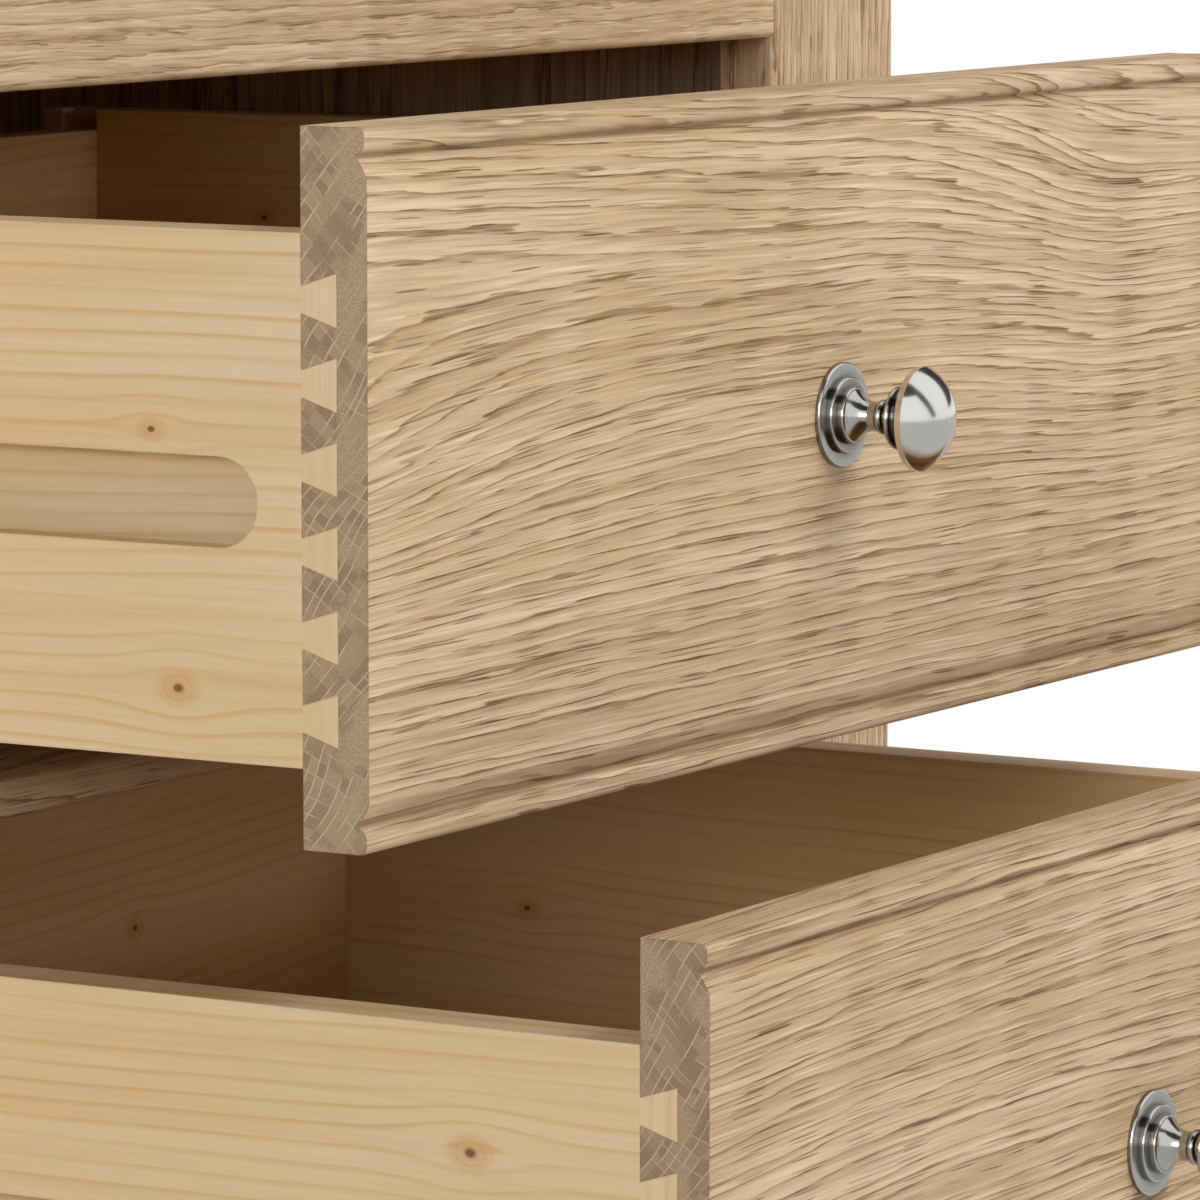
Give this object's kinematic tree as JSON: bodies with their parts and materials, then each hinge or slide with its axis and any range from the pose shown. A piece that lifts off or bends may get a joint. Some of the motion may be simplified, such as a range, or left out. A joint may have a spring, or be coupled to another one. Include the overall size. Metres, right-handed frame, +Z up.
{
  "type": "nightstand",
  "caption": "Oak nightstand with moulded, dovetailed drawers on side runners, polished round knobs, a framed front and short tapered legs.",
  "frame": {"origin": "on the floor, under the middle of the bounding box with the drawers open as stored", "axes": "+Z up, +X to the right seen from the front, +Y from the front to the back"},
  "size_m": [0.596, 0.6528, 0.5512],
  "materials": {
    "oak_front": "clear matt lacquer over open grain",
    "oak_stile": "clear matt lacquer over open grain",
    "oak_rail": "clear matt lacquer over open grain",
    "oak_panel": "clear matt lacquer over open grain",
    "oak_top": "clear matt lacquer over open grain",
    "oak_leg": "clear matt lacquer over open grain",
    "pine_side": "clear satin lacquer",
    "pine_back": "clear satin lacquer",
    "pine_frame": "bare planed pine",
    "beech": "waxed beech",
    "plywood": "sanded veneer",
    "chrome": "polished",
    "steel": "zinc plated",
    "nylon": "matt"
  },
  "bodies": {
    "cabinet": {"back_panel": "plywood", "back_screws": "steel", "bearer_lower_left": "pine_frame", "bearer_lower_right": "pine_frame", "bearer_upper_left": "pine_frame", "bearer_upper_right": "pine_frame", "bottom_board": "plywood", "bottom_rail_front": "oak_rail", "bottom_rail_rear": "pine_frame", "cleat_screws": "steel", "drawer_blade": "oak_rail", "front_stile_left": "oak_stile", "front_stile_right": "oak_stile", "leg_bolts": "steel", "leg_front_left": "oak_leg", "leg_front_right": "oak_leg", "leg_glides": "nylon", "leg_nuts": "steel", "leg_rear_left": "oak_leg", "leg_rear_right": "oak_leg", "leg_washers": "steel", "rear_stile_left": "pine_frame", "rear_stile_right": "pine_frame", "runner_lower_left": "beech", "runner_lower_right": "beech", "runner_screws": "steel", "runner_upper_left": "beech", "runner_upper_right": "beech", "side_panel_left": "oak_panel", "side_panel_right": "oak_panel", "top_board": "oak_top", "top_cleat_left": "pine_frame", "top_cleat_right": "pine_frame", "top_rail_front": "oak_rail", "top_rail_rear": "pine_frame"},
    "drawer_lower": {"drawer_back_lower": "pine_back", "drawer_bottom_lower": "plywood", "drawer_bottom_screws_lower": "steel", "drawer_front_lower": "oak_front", "drawer_side_left_lower": "pine_side", "drawer_side_right_lower": "pine_side", "knob_lower": "chrome", "knob_plate_lower": "chrome", "knob_screw_lower": "steel"},
    "drawer_upper": {"drawer_back_upper": "pine_back", "drawer_bottom_screws_upper": "steel", "drawer_bottom_upper": "plywood", "drawer_front_upper": "oak_front", "drawer_side_left_upper": "pine_side", "drawer_side_right_upper": "pine_side", "knob_plate_upper": "chrome", "knob_screw_upper": "steel", "knob_upper": "chrome"}
  },
  "joints": [
    {"name": "drawer_lower_slide", "type": "slide", "parent": "cabinet", "child": "drawer_lower", "axis": [0, -1, 0], "range_m": [-0.223, 0.027]},
    {"name": "drawer_upper_slide", "type": "slide", "parent": "cabinet", "child": "drawer_upper", "axis": [0, -1, 0], "range_m": [-0.138, 0.112]}
  ]
}
